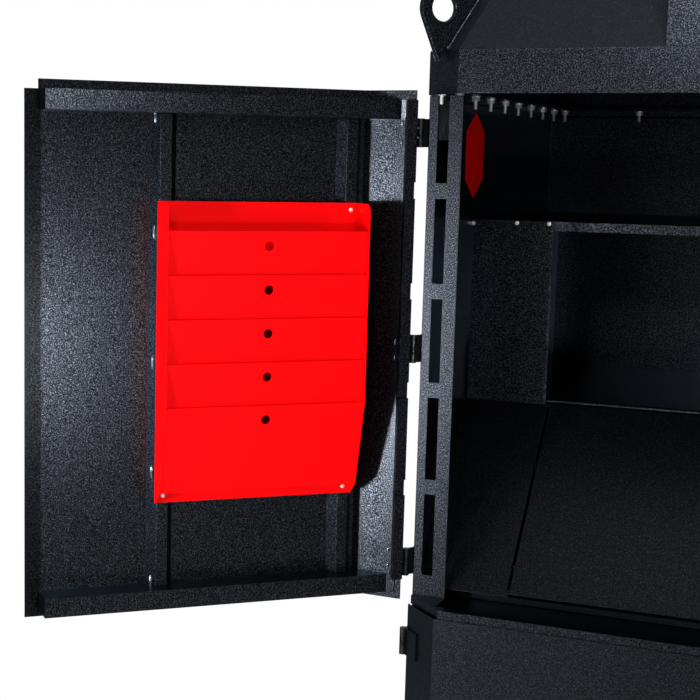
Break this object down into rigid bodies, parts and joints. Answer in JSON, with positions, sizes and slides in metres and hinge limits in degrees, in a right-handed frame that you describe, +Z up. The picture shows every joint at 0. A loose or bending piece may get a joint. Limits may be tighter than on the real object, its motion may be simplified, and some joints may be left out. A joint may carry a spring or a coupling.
{
  "type": "jobsite storage cabinet",
  "caption": "Black sheet-steel site cabinet with open double doors, red document rack, shelf, cubby and sloping lift-up desk over a lower cupboard, lifting eyes and fork runners.",
  "frame": {"origin": "on the floor under the middle of the body, on the bottom face of the middle runner", "axes": "+Z up, the doors' front faces -Y, and +X runs to the right of someone who faces the front"},
  "size_m": [2.1342, 1.2348, 1.822],
  "materials": {
    "black_coat": "sandy textured black powder coat",
    "red_coat": "smooth satin red powder coat",
    "hinge_steel": "black painted steel",
    "lock_metal": "smooth black coated metal"
  },
  "bodies": {
    "cabinet": {"back_panel": "black_coat", "canopy": "black_coat", "cover_panel_left": "black_coat", "cover_panel_right": "black_coat", "cubby_floor": "black_coat", "desk_hinge_pin": "hinge_steel", "desk_riser": "black_coat", "desk_strip_left": "black_coat", "desk_strip_right": "black_coat", "divider_deck": "black_coat", "floor_pan": "black_coat", "header_box": "black_coat", "hinge_frame_left_1": "hinge_steel", "hinge_frame_left_2": "hinge_steel", "hinge_frame_left_3": "hinge_steel", "hinge_frame_right_1": "hinge_steel", "hinge_frame_right_2": "hinge_steel", "hinge_frame_right_3": "hinge_steel", "hinge_frame_lower_left_1": "hinge_steel", "hinge_frame_lower_left_2": "hinge_steel", "hinge_frame_lower_right_1": "hinge_steel", "hinge_frame_lower_right_2": "hinge_steel", "lifting_lug_back_left": "black_coat", "lifting_lug_back_right": "black_coat", "lifting_lug_front_left": "black_coat", "lifting_lug_front_right": "black_coat", "lower_mullion": "black_coat", "shelf": "black_coat", "side_panel_left": "black_coat", "side_panel_right": "black_coat", "skid_left": "black_coat", "skid_middle": "black_coat", "skid_right": "black_coat", "slotted_post_left": "black_coat", "slotted_post_right": "black_coat", "wall_infill_left": "red_coat", "wall_infill_right": "red_coat"},
    "left_door": {"left_door_skin": "black_coat", "left_door_frame": "black_coat", "left_door_stiffener_inner": "black_coat", "left_door_stiffener_outer": "black_coat", "document_rack": "red_coat", "rack_pocket_1": "red_coat", "rack_pocket_2": "red_coat", "rack_pocket_3": "red_coat", "rack_pocket_4": "red_coat", "rack_pocket_5": "red_coat"},
    "right_door": {"right_door_skin": "black_coat", "right_door_frame": "black_coat", "right_door_stiffener_inner": "black_coat", "right_door_stiffener_outer": "black_coat"},
    "upper_lock": {"upper_lock_handle": "lock_metal", "upper_lock_cam": "lock_metal"},
    "desk_lid": {"desk_lid": "black_coat"},
    "lower_left_door": {"lower_left_door": "black_coat"},
    "lower_left_lock": {"lower_left_lock_handle": "lock_metal", "lower_left_lock_cam": "lock_metal"},
    "lower_right_door": {"lower_right_door": "black_coat"},
    "lower_right_lock": {"lower_right_lock_handle": "lock_metal", "lower_right_lock_cam": "lock_metal"}
  },
  "joints": [
    {"name": "left_door_hinge", "type": "hinge", "parent": "cabinet", "child": "left_door", "pos_m": [-0.5924, -0.3842, 1.27], "axis": [0, 0, -1], "range_deg": [-137.2, 41]},
    {"name": "right_door_hinge", "type": "hinge", "parent": "cabinet", "child": "right_door", "pos_m": [0.5924, -0.3842, 1.27], "axis": [0, 0, 1], "range_deg": [-137.2, 41]},
    {"name": "upper_lock_turn", "type": "hinge", "parent": "right_door", "child": "upper_lock", "pos_m": [1.02755, -0.70698, 1.24], "axis": [0.6794, 0.7337, 0], "range_deg": [0, 90]},
    {"name": "desk_lid_hinge", "type": "hinge", "parent": "cabinet", "child": "desk_lid", "pos_m": [0, -0.1155, 1.1644], "axis": [-1, 0, 0], "range_deg": [0, 85]},
    {"name": "lower_left_door_hinge", "type": "hinge", "parent": "cabinet", "child": "lower_left_door", "pos_m": [-0.5924, -0.3842, 0.5], "axis": [0, 0, -1], "range_deg": [0, 170]},
    {"name": "lower_left_lock_turn", "type": "hinge", "parent": "lower_left_door", "child": "lower_left_lock", "pos_m": [-0.0538, -0.443, 0.55], "axis": [0, 1, 0], "range_deg": [0, 90]},
    {"name": "lower_right_door_hinge", "type": "hinge", "parent": "cabinet", "child": "lower_right_door", "pos_m": [0.5924, -0.3842, 0.5], "axis": [0, 0, 1], "range_deg": [0, 170]},
    {"name": "lower_right_lock_turn", "type": "hinge", "parent": "lower_right_door", "child": "lower_right_lock", "pos_m": [0.0538, -0.443, 0.55], "axis": [0, -1, 0], "range_deg": [0, 90]}
  ]
}
